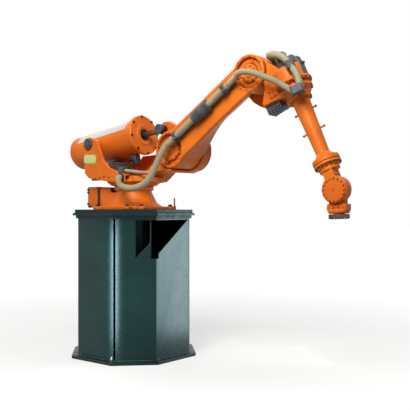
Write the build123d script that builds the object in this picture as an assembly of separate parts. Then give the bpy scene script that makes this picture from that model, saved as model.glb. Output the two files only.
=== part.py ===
import os
from math import atan2, cos, degrees, hypot, radians, sin, tan

from build123d import *

os.makedirs("parts", exist_ok=True)

# All sizes are in mm. The column stands on the floor at z = 0, under the swivel axis.
# The arm points along +X with the swivel at zero, and the hoses are on the -Y side.

# Stand, from the floor up
floor_to_robot = 1500
column_size, column_cut, column_wall, column_bend, seam_extra = 1090, 288, 12, 35, 50
foot_plate_out, foot_plate_t = 60, 30
collar_out, collar_t = 20, 30
top_plate_out, top_plate_t = 50, 25
mount_plate_out, mount_plate_t = 30, 35
seam_gap = 22
anchor_out, anchor_hole_r = 27.5, 11
opening_depth, opening_margin = 420, 45
rib_t, rib_depth = 12, 150

mount_plate_z = floor_to_robot - mount_plate_t
column_top = mount_plate_z - top_plate_t
column_height = column_top - foot_plate_t

# Robot base
foot_flange_t, foot_half, foot_cut = 32, 325, 130
pad_r, bolt_a, bolt_b, bolt_head_r, bolt_head_h = 45, 320, 215, 18, 16
skirt_r, waist_r, waist_h = 300, 184, 200
ring_r, ring_t = 205, 44
rear_half, rear_x, rear_h, rear_wall = 160, -340, 235, 18
box_x0, box_x1, box_h0, box_h1 = -550, -396, 20, 243
pin_x, pin_y, pin_r, pin_h = 330, 265, 9, 90

# Axes of the robot at rest, as (x, z)
shoulder = (600, floor_to_robot + 590)
elbow = (1550, floor_to_robot + 1225)
wrist = (2388, floor_to_robot + 164)
trunnion = (-399, floor_to_robot + 690)
rod_pin = (400, floor_to_robot + 812)
forearm_tilt, tool_tilt = 65, 88

# Swivel
seat_gap = 0.3
table_r, table_low_r, table_t = 283, 212, 55
table_z = floor_to_robot + waist_h + ring_t + seat_gap
deck_z = table_z + table_t
deck_half, deck_front, deck_corner = 215, 330, 105
ear_in, ear_out, ear_web = 205, 275, 38
drum_in, drum_out, drum_r = 176, 300, 205
saddle_r, bulkhead_y = 191, -292

# Lower arm, in its own frame: x from shoulder to elbow, z across
arm_near, arm_far, root_far = -122, 122, 170
beam_near, beam_corner, beam_near_low = -119, 26, -168
arm_top, arm_low = 148, -56
root_r, top_r, rim, recess = 185, 170, 30, 40
beam_straight = 700
hose_r, hose_y, hose_z = 26, -174, 22
rail_x0, rail_x1, rail_t, rail_half = 150, 985, 16, 20
sleeve_x, sleeve_half, sleeve_r = 558, 105, 48
clamp_xs = {"lower_hose_clamp": 175, "upper_hose_clamp": 882}

# Balancer, in its own frame: x from the trunnion to the rod's eye
cylinder_r, cylinder_x0, cylinder_x1 = 177, -425, 520
flange_r, flange_t, gland_r = 207, 38, 62
rod_r, rod_x0, eye_r, eye_half, eye_pin_r = 30, 90, 46, 26, 20
lug_y0, lug_y1 = 36, 86

# Upper arm, in its own frame: x along the forearm from the elbow, z across
pivot_in, pivot_out, pivot_r = 130, 272, 165
block_near = -105
root_ring_r, root_ring_x = 167, 283
tube_x1, tube_r0, tube_r1 = 975, 78, 59
joint_ring_r, joint_ring_x = 120, 1062

# Wrist
joint_gap = 5
fork_half, body_r, body_gap, neck_half, snout_half = 47, 112, 5, 70, 95
near_cheek, far_cheek = (50, 74, 118), (34, 58, 74)
tool_r, tool_x0, tool_x1 = 88, 206, 247
tool_circle_r, tool_hole_r, pilot_r, pilot_depth = 62.5, 5.5, 40, 8


def slope(start, end):
    return degrees(atan2(end[1] - start[1], end[0] - start[0]))


def distance(start, end):
    return hypot(end[0] - start[0], end[1] - start[1])


def place(point, tilt):
    """Frame at an (x, z) point with its x axis tilted down by an angle."""
    return Pos(point[0], 0, point[1]) * Rot(0, tilt, 0)


def inside(point, origin, tilt):
    """An (x, z) point of the world, in the frame that place gives."""
    dx, dz = point[0] - origin[0], point[1] - origin[1]
    c, s = cos(radians(tilt)), sin(radians(tilt))
    return dx * c - dz * s, dx * s + dz * c


arm_tilt = -slope(shoulder, elbow)
arm_length = distance(shoulder, elbow)
arm_place = place(shoulder, arm_tilt)
balancer_place = place(trunnion, -slope(trunnion, rod_pin))
rod_length = distance(trunnion, rod_pin)
forearm_place = place(elbow, forearm_tilt)
wrist_x, axis_z = inside(wrist, elbow, forearm_tilt)
roll_place = forearm_place * Pos(0, 0, axis_z)
tool_place = place(wrist, tool_tilt)


def save(shape, name):
    export_step(shape, f"parts/{name}.step")


def octagon(size, cut, z, height, bend=0):
    """Upright block with a square outline whose corners are cut, and bent round where a sheet forms them."""
    outline = chamfer(Rectangle(size, size).vertices(), cut)
    if bend:
        seam = [v.center() for v in outline.vertices().filter_by(at_seam)]
        outline = fillet(outline.vertices().filter_by(at_seam, reverse=True), bend)
        corners = [v for v in outline.vertices() if min((v.center() - c).length for c in seam) < 1]
        outline = fillet(corners, bend + seam_extra)
    return Pos(0, 0, z) * extrude(outline, height)


def at_seam(corner):
    """True for the two corners where the column's shells meet."""
    return corner.X * corner.Y < 0 and abs(corner.Y) > abs(corner.X)


def column_outline(out, z, height, bend=0):
    """Block with the column's outline, grown outwards by a width."""
    return octagon(column_size + 2 * out, column_cut + out * (2 - 2 ** 0.5), z, height, bend)


def box(x0, x1, y0, y1, z0, z1):
    return Pos((x0 + x1) / 2, (y0 + y1) / 2, (z0 + z1) / 2) * Box(x1 - x0, y1 - y0, z1 - z0)


def disc_y(r, y0, y1, x=0, z=0):
    return Pos(x, (y0 + y1) / 2, z) * Rot(90, 0, 0) * Cylinder(r, abs(y1 - y0))


def rod_along_x(r, x0, x1, y=0, z=0):
    return Pos((x0 + x1) / 2, y, z) * Rot(0, 90, 0) * Cylinder(r, x1 - x0)


def turned_x(*profile):
    """Solid turned about the x axis from (x, r) points."""
    outline = make_face(Polyline((profile[0][0], 0), *profile, (profile[-1][0], 0), close=True))
    return revolve(outline, Axis.X)


def turned_z(*profile):
    """Solid turned about the z axis from (r, z) points."""
    outline = make_face(Polyline((0, profile[0][1]), *profile, (0, profile[-1][1]), close=True))
    return revolve(Plane.XZ * outline, Axis.Z)


def plate_y(points, y0, y1, radius=0):
    """Upright plate from an outline of (x, z) points, between two y values."""
    outline = make_face(Polyline(*points, close=True))
    if radius:
        outline = fillet(outline.vertices(), radius)
    return Pos(0, y1, 0) * Rot(90, 0, 0) * extrude(outline, y1 - y0)


def spans(side, near, far):
    """Two distances from the middle plane as y values, low one first, on the near or far side."""
    return sorted((side * near, side * far))


def hose(points, r):
    """Eight-sided hose with straight runs and a tangent arc at each corner of a list of points."""
    points = [Vector(*p) for p in points]
    edges, start = [], points[0]
    for before, corner, after in zip(points, points[1:], points[2:]):
        into, out = (corner - before).normalized(), (after - corner).normalized()
        half_turn = into.get_angle(out) / 2
        reach = 0.45 * min((corner - before).length, (after - corner).length)
        bend = reach / tan(radians(half_turn))
        inward = (out - into).normalized()
        arc_start, arc_end = corner - into * reach, corner + out * reach
        middle = corner + inward * (bend / cos(radians(half_turn)) - bend)
        edges += [Edge.make_line(start, arc_start), Edge.make_three_point_arc(arc_start, middle, arc_end)]
        start = arc_end
    path = Wire([*edges, Edge.make_line(start, points[-1])])
    return sweep(Plane(path @ 0, z_dir=path % 0) * RegularPolygon(r, 8), path=path)


# Stand
half = column_size / 2
foot_plate = column_outline(foot_plate_out, 0, foot_plate_t)
for k in range(8):
    turn = radians(22.5 + 45 * k)
    at = Pos((half + anchor_out) * cos(turn), (half + anchor_out) * sin(turn), 0)
    foot_plate -= at * Cylinder(anchor_hole_r, 3 * foot_plate_t)
save(foot_plate, "foot_plate")

shell = column_outline(0, foot_plate_t, column_height, column_bend)
shell -= column_outline(-column_wall, 0, floor_to_robot, column_bend - column_wall)

# The access opening runs from the middle of the corner face to the top of the front face
edge_y = half - column_cut
corner_face = Rot(0, 0, -45)
corner_face_x = (half + edge_y) / 2 ** 0.5
corner_half = column_cut / 2 ** 0.5
opening_z0, opening_z1 = column_top - opening_depth, column_top - opening_margin
notch = Polyline((4, opening_z0), (150, opening_z0 + 155), (150, opening_z0), (corner_half + 30, opening_z0),
                 (corner_half + 30, opening_z1), (4, opening_z1), close=True)
opening = corner_face * Pos(corner_face_x - 60, 0, 0) * extrude(Plane.YZ * make_face(notch), 120)
triangle = Polyline((-edge_y - 20, opening_z0), (edge_y - 30, opening_z1), (-edge_y - 20, opening_z1),
                    close=True)
opening += Pos(half - 60, 0, 0) * extrude(Plane.YZ * make_face(triangle), 120)
shell -= opening
seam_turn = degrees(atan2(-half, edge_y))
half_space = box(seam_gap / 2, column_size, -column_size, column_size, 0, floor_to_robot)
for name, turn in (("column_front_shell", 90), ("column_rear_shell", -90)):
    save(shell & Rot(0, 0, seam_turn + turn) * half_space, name)

rib_x = corner_face_x - column_wall
for name, y, z in (("column_rib_middle", 8, opening_z0 - 20), ("column_rib_side", 157, opening_z0 - 10)):
    save(corner_face * box(rib_x - rib_depth, rib_x, y - rib_t / 2, y + rib_t / 2, z, column_top), name)
collar = column_outline(collar_out, column_top - collar_t, collar_t)
save(collar - column_outline(0, 0, floor_to_robot, column_bend), "column_collar")
save(column_outline(top_plate_out, column_top, top_plate_t), "column_top_plate")
save(column_outline(mount_plate_out, mount_plate_z, mount_plate_t), "mounting_plate")

# Robot base
ground = Pos(0, 0, floor_to_robot)
bolt_places = [(sx * x, sy * y) for x, y in ((bolt_a, bolt_b), (bolt_b, bolt_a))
               for sx in (-1, 1) for sy in (-1, 1)]
base = octagon(2 * foot_half, foot_cut, 0, foot_flange_t)
for x, y in bolt_places:
    base += Pos(x, y, foot_flange_t / 2) * Cylinder(pad_r, foot_flange_t)
base += turned_z((skirt_r, foot_flange_t), (242, 70), (205, 140), (waist_r, waist_h - 12), (waist_r, waist_h),
                 (ring_r, waist_h), (ring_r, waist_h + ring_t))
rear = box(rear_x, -100, -rear_half, rear_half, 0, rear_h)
rear = fillet(rear.edges().filter_by(Axis.X).group_by(Axis.Z)[-1], 25)
rear -= box(rear_x - 10, -260, rear_wall - rear_half, rear_half - rear_wall, 30, rear_h - rear_wall)
base += rear - Pos(0, 0, waist_h + ring_t / 2) * Cylinder(ring_r + 40, ring_t + 40)
base += Pos(pin_x, pin_y, foot_flange_t + pin_h / 2) * Cylinder(pin_r, pin_h)
base += Pos(pin_x, pin_y, foot_flange_t / 2) * Cylinder(2 * pin_r, foot_flange_t)
save(ground * base, "base_casting")
connector = box(box_x0, box_x1, -rear_half, rear_half, box_h0, box_h1)
connector = chamfer(connector.edges().group_by(Axis.X)[0], 10)
connector += box(box_x1, rear_x, 8 - rear_half, rear_half - 8, box_h0, rear_h - 12)
save(ground * connector, "connector_box")
bolt_z = floor_to_robot + foot_flange_t
head = extrude(RegularPolygon(bolt_head_r, 6), bolt_head_h)
save(Compound(children=[Pos(x, y, bolt_z) * head for x, y in bolt_places]), "foot_bolts")

# Swivel
frame = turned_z((table_low_r, table_z), (table_low_r + 25, table_z + 4), (table_r, table_z + 42),
                 (table_r, deck_z))
deck_outline = [(-440, deck_z + 52), (-458, deck_z + 40), (-120, deck_z - 2), (200, deck_z - 20),
                (deck_front, deck_z - 20), (deck_front, deck_z + 32), (200, deck_z + 45)]
deck = plate_y(deck_outline, -deck_half, deck_half, 6)
deck_plan = Polyline((-500, -deck_half), (deck_front - deck_corner, -deck_half),
                     (deck_front, deck_corner - deck_half), (deck_front, deck_half - deck_corner),
                     (deck_front - deck_corner, deck_half), (-500, deck_half), close=True)
frame += deck & Pos(0, 0, deck_z - 100) * extrude(make_face(deck_plan), 200)
sx, sz = shoulder
upright = [(-150, deck_z + 10), (200, deck_z - 10), (250, deck_z + 22), (335, deck_z + 88), (sx, sz - 200),
           (sx + 150, sz), (sx, sz + 190), (430, sz + 90), (250, sz - 5), (-60, sz - 15), (-150, sz - 120)]
frame += plate_y(upright, drum_in + 10, drum_out - 10, 20)
saddle = [(180, deck_z + 10), (250, deck_z + 22), (335, deck_z + 88), (sx - 40, sz - 218),
          (sx + 5, sz - 218), (sx + 5, sz - 185), (400, sz - 110)]
frame += plate_y(saddle, arm_near + 10, drum_out - 10, 12) - disc_y(saddle_r, -300, drum_in, *shoulder)
frame += disc_y(drum_r, drum_in, drum_out, *shoulder)
save(frame, "swivel_frame")

tx, tz = trunnion
ear = [(-400, deck_z + 30), (tx - 62, deck_z + 80), (tx - 80, tz - 20), (tx - 65, tz + 58),
       (tx + 20, tz + 72), (tx + 120, tz + 30), (tx + 165, tz - 70), (tx + 215, tz - 180),
       (tx + 300, deck_z + 130), (60, deck_z + 75), (60, deck_z - 8), (-120, deck_z - 10)]
for name, side in (("cradle_ear_near", -1), ("cradle_ear_far", 1)):
    plate = plate_y(ear, *spans(side, ear_out - ear_web, ear_out), 10)
    plate += disc_y(66, *spans(side, ear_in, ear_out), tx, tz)
    plate += box(-400, 60, *spans(side, deck_half, ear_out - ear_web), deck_z + 5, deck_z + 40)
    save(plate - disc_y(40, -ear_out - 5, ear_out + 5, tx, tz) - frame, name)
for name, side in (("trunnion_cap_near", -1), ("trunnion_cap_far", 1)):
    y0, y1 = spans(side, ear_out, ear_out + 22)
    save(chamfer(disc_y(58, y0, y1, tx, tz).edges().group_by(Axis.Y)[0 if side < 0 else -1], 6), name)
swivel_motor = Pos(-190, 0, deck_z + 45) * extrude(RectangleRounded(140, 140, 30), 136)
save(swivel_motor - frame, "swivel_motor")
motor = disc_y(110, drum_out, drum_out + 40, sx, sz)
motor += Pos(sx, drum_out + 40, sz) * Rot(-90, 0, 0) * extrude(RectangleRounded(160, 160, 30), 80)
motor += Pos(sx, drum_out + 120, sz) * Rot(-90, 0, 0) * extrude(RectangleRounded(130, 130, 30), 30)
save(motor, "shoulder_motor")
bulkhead = box(62, 150, bulkhead_y, -deck_half, deck_z + 46, deck_z + 64)
bulkhead += box(62, 150, bulkhead_y, bulkhead_y + 18, deck_z - 20, deck_z + 64)
save(bulkhead - frame - plate_y(ear, -ear_out, ear_web - ear_out, 10), "hose_bulkhead")

# Balancer
cylinder = turned_x((cylinder_x0, cylinder_r - 10), (cylinder_x0 + 10, cylinder_r), (cylinder_x1, cylinder_r))
cylinder -= rod_along_x(rod_r + 6, -110, cylinder_x1 + 5)
save(balancer_place * cylinder, "balancer_cylinder")
front = cylinder_x1 + flange_t
flange = turned_x((cylinder_x1, flange_r), (front - 6, flange_r), (front, flange_r - 6))
flange -= rod_along_x(gland_r, front - 12, front + 5)
flange -= rod_along_x(rod_r + seat_gap, cylinder_x1 - 5, front + 5)
save(balancer_place * flange, "balancer_front_flange")
rear_cap = turned_x((cylinder_x0 - 42, 70), (cylinder_x0 - 36, 120), (cylinder_x0 - 18, 155),
                    (cylinder_x0, cylinder_r - 10))
save(balancer_place * rear_cap, "balancer_rear_cap")
barrel = rod_along_x(cylinder_r, cylinder_x0, cylinder_x1)
stubs = [disc_y(36, *spans(side, cylinder_r - 12, ear_out - seat_gap)) - barrel for side in (-1, 1)]
save(Compound(children=[balancer_place * s for s in stubs]), "balancer_trunnions")
valve = box(400, 470, -30, 30, -cylinder_r - 90, 40 - cylinder_r) - barrel
save(balancer_place * valve, "balancer_valve_block")
eye_space = disc_y(eye_r, -60, 60, rod_length)
save(balancer_place * (rod_along_x(rod_r, rod_x0, rod_length - eye_r / 2) - eye_space), "balancer_rod")
eye = disc_y(eye_r, -eye_half, eye_half, rod_length) - disc_y(eye_pin_r, -60, 60, rod_length)
save(balancer_place * eye, "rod_eye")

# Lower arm: a lofted beam that widens to the shoulder, with a drum at each end
def beam_section(x, y1, near_low, far_low, top):
    at = Plane(origin=(x, 0, 0), x_dir=(0, 1, 0), z_dir=(1, 0, 0))
    outline = Polyline((beam_near, near_low), (y1, far_low), (y1, top), (beam_near, top), close=True)
    return at * fillet(make_face(outline).vertices(), beam_corner)


beam_end = (arm_far, beam_near_low, arm_low, arm_top)
beam = loft([beam_section(20, root_far, -160, -165, 160),
             beam_section(170, root_far - 8, -166, -158, 150),
             beam_section(340, 140, beam_near_low, -112, arm_top),
             beam_section(580, *beam_end),
             beam_section(beam_straight, *beam_end)])
beam += extrude(beam_section(beam_straight, *beam_end), arm_length - 20 - beam_straight)
root = disc_y(root_r, arm_near, root_far)
top = disc_y(top_r, arm_near, arm_far, arm_length)
arm = beam + chamfer(root.edges().filter_by(GeomType.CIRCLE), 8)
arm += chamfer(top.edges().filter_by(GeomType.CIRCLE), 8)
floor_y = arm_near + recess
arm -= disc_y(root_r - rim, arm_near - 1, floor_y) + disc_y(top_r - rim, arm_near - 1, floor_y, arm_length)
arm += disc_y(120, root_far - 1, drum_in - seat_gap)
arm += disc_y(110, arm_far - 1, pivot_in - seat_gap, arm_length)
save(arm_place * arm, "lower_arm")
shoulder_cover = disc_y(108, floor_y - 26, floor_y)
elbow_cover = disc_y(84, floor_y - 26, floor_y, arm_length)
for cover, name in ((shoulder_cover, "shoulder_cover"), (elbow_cover, "elbow_cover")):
    save(arm_place * chamfer(cover.edges().group_by(Axis.Y)[0], 5), name)
px, pz = inside(rod_pin, shoulder, arm_tilt)
lug = plate_y([(px - 65, 120), (px - 66, pz), (px - 45, pz + 62), (px + 25, pz + 78), (px + 90, pz + 40),
               (px + 190, 150), (px + 190, 120)], lug_y0, lug_y1, 18)
save(arm_place * (lug - arm), "balancer_lug")
rail_y = arm_near - rail_t
rail = box(rail_x0, rail_x1, rail_y, beam_near, hose_z - rail_half, hose_z + rail_half)
save(arm_place * (rail - arm), "clamp_rail")
for name, x in clamp_xs.items():
    clamp = box(x - 25, x + 25, hose_y - 38, rail_y, hose_z - 40, hose_z + 40)
    clamp = chamfer(clamp.edges().group_by(Axis.Y)[0], 10)
    save(arm_place * (clamp - rod_along_x(hose_r, x - 30, x + 30, hose_y, hose_z)), name)
hose_x0, hose_x1 = 150, 940
save(arm_place * rod_along_x(hose_r, hose_x0, hose_x1, hose_y, hose_z), "arm_hose")
sleeve = rod_along_x(sleeve_r, sleeve_x - sleeve_half, sleeve_x + sleeve_half, hose_y, hose_z)
sleeve -= rod_along_x(hose_r, 400, 700, hose_y, hose_z)
save(arm_place * (sleeve - rail - arm), "hose_sleeve")

# Upper arm
pivot = disc_y(pivot_r, pivot_in, pivot_out)
housing = chamfer(pivot.edges().filter_by(GeomType.CIRCLE), 10)
far_outline = [(-150, 60), (-60, 160), (100, 270), (200, 300), (350, 200), (350, 20), (290, -90), (230, -150),
               (150, -205), (50, -235), (-60, -200), (-120, -110)]
housing += plate_y(far_outline, pivot_in, pivot_out - 8, 20)
block_outline = [(-40, 175), (96, 262), (250, 262), (345, 190), (352, 2), (325, 8), (195, 92), (150, 92)]
housing += plate_y(block_outline, block_near, pivot_out - 30, 14)
root_outline = [(60, 200), (110, 275), (186, 290), (255, 300), (300, 380), (400, 350), (392, 250),
                (372, 180), (352, 20), (240, 70)]
housing += plate_y(root_outline, block_near, -block_near, 14)
housing -= disc_y(top_r + 14, -200, pivot_in)
roll_case = turned_x((150, 132), (160, 150), (275, 150), (root_ring_x, root_ring_r), (305, root_ring_r),
                     (312, 128), (336, 120), (343, 150), (370, 150), (378, 118), (405, 108), (430, 108))
housing += Pos(0, 0, axis_z) * roll_case
save(forearm_place * housing, "elbow_housing")
fins = box(340, 432, -62, 62, 2, 150)
for k in range(5):
    fins -= box(400, 440, -70, 70, 18 + 27 * k, 30 + 27 * k)
save(forearm_place * (fins - housing), "elbow_motor")


def wrist_motor(x, y, z):
    body = Pos(x + 55, y, z) * Rot(0, 90, 0) * extrude(RectangleRounded(90, 90, 16), root_ring_x - 55 - x)
    body += Pos(x, y, z) * Rot(0, 90, 0) * extrude(RectangleRounded(76, 76, 18), 63)
    return body + box(x + 75, x + 120, y - 20, y + 20, z + 40, z + 62)


motors = [wrist_motor(x, y, axis_z + z) - housing for x, y, z in ((85, 0, 105), (5, -75, 28), (5, 75, 28))]
save(Compound(children=[forearm_place * m for m in motors]), "wrist_motors")
tube = turned_x((430, 100), (445, 90), (462, tube_r0), (tube_x1, tube_r1), (1015, 92),
                (1022, joint_ring_r - 10), (1030, joint_ring_r), (joint_ring_x, joint_ring_r))
for x in (560, 755):
    for turn in (180, -18):
        tube += Rot(turn, 0, 0) * Pos(x, 0, 80) * Cylinder(9, 40)
save(roll_place * tube - forearm_place * housing, "forearm_tube")

# Clamps and hose at the forearm's root, each at a distance and turn from the forearm's axis
def around_axis(x, r, turn):
    """Point in the forearm's frame, at a turn from straight up towards the near side."""
    return x, -r * sin(radians(turn)), axis_z + r * cos(radians(turn))


def world(frame_place, point):
    return tuple((frame_place * Pos(*point)).position)


root_hose_r = 30
clamp_a, clamp_b = (430, 212, 62.5, 112, 56), (197, 207, 55, 150, 38)
root_route = [around_axis(440, 212, 54), around_axis(380, 218, 52), around_axis(290, 222, 50),
              around_axis(*clamp_b[:3]), (100, -172, 402), (30, -165, 347), (-20, -140, 280), (-48, -90, 240),
              (-28, -25, 238), (40, 10, 245), (85, 20, 205)]
root_hose = hose([world(forearm_place, p) for p in root_route], root_hose_r)
elbow_route = [world(arm_place, (hose_x1, hose_y, hose_z)), world(arm_place, (hose_x1 + 90, hose_y, hose_z)),
               (1520, -225, 2722), (1660, -240, 2705), (1790, -235, 2650), (1940, -215, 2580),
               world(forearm_place, around_axis(440, 212, 71))]
elbow_hose = hose(elbow_route, hose_r)
clamps = []
for x, r, turn, seat_r, reach in (clamp_a, clamp_b):
    block = box(x - 35, x + 35, -reach, reach, r - 34, r + 34)
    bracket = box(x - 32, x - 10, -14, 14, seat_r - 20, r - 34)
    clamp = Pos(0, 0, axis_z) * Rot(turn, 0, 0) * (chamfer(block.edges().filter_by(Axis.X), 12) + bracket)
    clamps.append(forearm_place * (clamp - housing) - roll_place * tube - root_hose - elbow_hose)
save(Compound(children=clamps), "forearm_hose_clamps")
save(root_hose - forearm_place * housing, "forearm_hose")
save(elbow_hose, "elbow_hose")
shoulder_route = [(106, bulkhead_y, deck_z + 22), (106, -350, deck_z + 22), (150, -348, deck_z - 75),
                  (320, -330, deck_z - 98), (480, -310, deck_z - 45), (560, -270, deck_z + 120),
                  (610, -210, deck_z + 300), world(arm_place, (60, hose_y, hose_z)),
                  world(arm_place, (hose_x0, hose_y, hose_z))]
save(hose(shoulder_route, hose_r), "shoulder_hose")

# Wrist
fork_x = joint_ring_x + joint_gap
fork_root = turned_x((joint_ring_x + seat_gap, 70), (fork_x, 70), (fork_x, joint_ring_r),
                     (fork_x + 24, joint_ring_r), (fork_x + 27, 102), (fork_x + 47, 82), (fork_x + 50, 90),
                     (fork_x + 75, 90), (fork_x + 78, 70), (fork_x + 90, 62))
near_in, near_out, near_r = near_cheek
far_in, far_out, far_r = far_cheek
arm_x = wrist_x - body_r - body_gap
fork_root += box(fork_x + 76, arm_x, -near_out, far_out, -fork_half, fork_half)
for y0, y1, r in ((-near_out, -near_in, near_r), (far_in, far_out, far_r)):
    fork_root += box(fork_x + 80, wrist_x, y0, y1, -fork_half, fork_half) + disc_y(r, y0, y1, wrist_x)
save(roll_place * fork_root, "wrist_fork")
covers = (("fork_cover_near", -1, near_out, near_r - 8), ("fork_cover_far", 1, far_out, far_r - 10))
for name, side, out, r in covers:
    cover = disc_y(r, *spans(side, out, out + 12), wrist_x)
    save(roll_place * chamfer(cover.edges().group_by(Axis.Y)[0 if side < 0 else -1], 4), name)
body_near, body_far = body_gap - near_in, far_in - body_gap
drum = disc_y(body_r, body_near, body_far)
body = chamfer(drum.edges().filter_by(GeomType.CIRCLE), 6)
body += box(40, 128, body_near, body_far, -neck_half, neck_half)
snout = Pos(122, 0, 0) * Rot(0, 90, 0) * extrude(RectangleRounded(2 * snout_half, 104, 24), 54)
body += snout + rod_along_x(86, 170, tool_x0 - joint_gap)
body += disc_y(50, seat_gap - near_in, far_in - seat_gap)
save(tool_place * body, "wrist_body")
flange = turned_x((tool_x0 - joint_gap + seat_gap, 50), (tool_x0, 50), (tool_x0, tool_r),
                  (tool_x1 - 12, tool_r), (tool_x1 - 12, 80), (tool_x1, 80))
flange -= rod_along_x(pilot_r, tool_x1 - pilot_depth, tool_x1 + 5)
for k in range(6):
    y, z = tool_circle_r * cos(radians(60 * k)), tool_circle_r * sin(radians(60 * k))
    flange -= rod_along_x(tool_hole_r, tool_x1 - 20, tool_x1 + 5, y, z)
save(tool_place * flange, "tool_flange")
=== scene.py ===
from math import atan2, cos, hypot, pi, radians, sin

import bmesh
import bpy
from mathutils import Matrix, Vector

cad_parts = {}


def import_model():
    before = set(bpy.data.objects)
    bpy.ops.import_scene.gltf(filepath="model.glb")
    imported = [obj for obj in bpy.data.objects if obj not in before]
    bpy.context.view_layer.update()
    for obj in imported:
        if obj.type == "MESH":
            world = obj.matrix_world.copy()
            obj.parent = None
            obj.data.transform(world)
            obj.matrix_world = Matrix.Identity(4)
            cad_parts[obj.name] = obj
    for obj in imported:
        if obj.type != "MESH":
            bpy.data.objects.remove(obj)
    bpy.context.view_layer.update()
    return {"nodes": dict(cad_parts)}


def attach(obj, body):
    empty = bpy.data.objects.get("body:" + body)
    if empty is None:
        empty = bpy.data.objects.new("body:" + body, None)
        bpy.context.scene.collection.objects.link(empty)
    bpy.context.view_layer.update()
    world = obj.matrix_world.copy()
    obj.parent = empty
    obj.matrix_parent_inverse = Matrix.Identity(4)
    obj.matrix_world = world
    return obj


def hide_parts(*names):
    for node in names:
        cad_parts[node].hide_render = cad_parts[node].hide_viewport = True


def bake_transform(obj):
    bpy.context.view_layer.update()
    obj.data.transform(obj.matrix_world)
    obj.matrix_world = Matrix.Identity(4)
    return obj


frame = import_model()

# All sizes are in metres. The column stands at the origin, and the arm points along +X.
ground = 1.5
shoulder, elbow, wrist = (0.600, 2.090), (1.550, 2.725), (2.388, 1.664)
trunnion, rod_pin = (-0.399, 2.190), (0.400, 2.312)
forearm_tilt, tool_tilt = radians(65), radians(88)
deck_z = 1.7993
arm_length = hypot(elbow[0] - shoulder[0], elbow[1] - shoulder[1])
rod_length = hypot(rod_pin[0] - trunnion[0], rod_pin[1] - trunnion[1])


def tilt_from(start, end):
    return -atan2(end[1] - start[1], end[0] - start[0])


def frame_at(point, tilt):
    """Frame at an (x, z) point of the middle plane, with its x axis tilted down by an angle."""
    return Matrix.Translation((point[0], 0, point[1])) @ Matrix.Rotation(tilt, 4, "Y")


arm = frame_at(shoulder, tilt_from(shoulder, elbow))
balancer = frame_at(trunnion, tilt_from(trunnion, rod_pin))
forearm = frame_at(elbow, forearm_tilt)
tool = frame_at(wrist, tool_tilt)
wrist_in_forearm = forearm.inverted() @ Vector((wrist[0], 0, wrist[1]))
roll = forearm @ Matrix.Translation((0, 0, wrist_in_forearm.z))

# Turns that bring a piece made upright along another axis
along_x = Matrix.Rotation(radians(90), 4, "Y")
along_near = Matrix.Rotation(radians(90), 4, "X")
along_far = Matrix.Rotation(radians(-90), 4, "X")
along_back = Matrix.Rotation(radians(-90), 4, "Y")
upright = Matrix.Identity(4)


def move(x=0.0, y=0.0, z=0.0):
    return Matrix.Translation((x, y, z))


def turn(degrees):
    """Turn round the z axis."""
    return Matrix.Rotation(radians(degrees), 4, "Z")


# Selecting and finishing
def only(*objects):
    bpy.ops.object.select_all(action="DESELECT")
    for obj in objects:
        obj.select_set(True)
    bpy.context.view_layer.objects.active = objects[0]


def pick_faces(test):
    """In edit mode, selects just the faces whose middle and normal pass a test."""
    mesh = bpy.context.object.data
    bpy.ops.mesh.select_mode(type="FACE")
    bpy.ops.mesh.select_all(action="DESELECT")
    shape = bmesh.from_edit_mesh(mesh)
    for face in shape.faces:
        if test(face.calc_center_median(), face.normal):
            face.select_set(True)
    bmesh.update_edit_mesh(mesh)


def pick_edges(test):
    """In edit mode, selects just the edges whose two ends pass a test."""
    mesh = bpy.context.object.data
    bpy.ops.mesh.select_mode(type="EDGE")
    bpy.ops.mesh.select_all(action="DESELECT")
    shape = bmesh.from_edit_mesh(mesh)
    for edge in shape.edges:
        if test(edge.verts[0].co, edge.verts[1].co):
            edge.select_set(True)
    bmesh.update_edit_mesh(mesh)


def finish(obj, name, body, material, place=upright, smooth=35):
    """Gives a piece its place, name, finish and the body that it moves with."""
    obj.name = obj.data.name = name
    obj.data.transform(place)
    only(obj)
    bpy.ops.object.shade_smooth_by_angle(angle=radians(smooth))
    obj.data.materials.clear()
    obj.data.materials.append(material)
    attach(obj, body)
    return obj


def copies(model, name, body, material, places, smooth=35):
    """One piece made of a copy of a model at each place."""
    made = []
    for place in places:
        copy = bpy.data.objects.new(name, model.data.copy())
        bpy.context.scene.collection.objects.link(copy)
        copy.data.transform(place)
        made.append(copy)
    only(*made)
    bpy.ops.object.join()
    return finish(bpy.context.object, name, body, material, upright, smooth)


def ring_of(count, radius, start=0.0):
    """Places on a circle round the z axis, each turned outwards."""
    step = 2 * pi / count
    return [Matrix.Rotation(radians(start) + k * step, 4, "Z") @ move(radius) for k in range(count)]


# Models of the small parts, each upright with its seat at z = 0
def turned(profile, sides=64):
    """Shape turned round the z axis, from (radius, z) steps, closed at both ends."""
    radius, z = profile[0]
    bpy.ops.mesh.primitive_circle_add(vertices=sides, radius=radius, fill_type="NGON", location=(0, 0, 0))
    obj = bpy.context.object
    only(obj)
    bpy.ops.object.mode_set(mode="EDIT")
    bpy.ops.mesh.select_all(action="SELECT")
    bpy.ops.transform.translate(value=(0, 0, z))
    for next_radius, next_z in profile[1:]:
        bpy.ops.mesh.extrude_region_move(TRANSFORM_OT_translate={"value": (0, 0, next_z - z)})
        scale = next_radius / radius
        bpy.ops.transform.resize(value=(scale, scale, 1))
        radius, z = next_radius, next_z
    bpy.ops.mesh.select_all(action="SELECT")
    bpy.ops.mesh.normals_make_consistent(inside=False)
    bpy.ops.object.mode_set(mode="OBJECT")
    return obj


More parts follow.
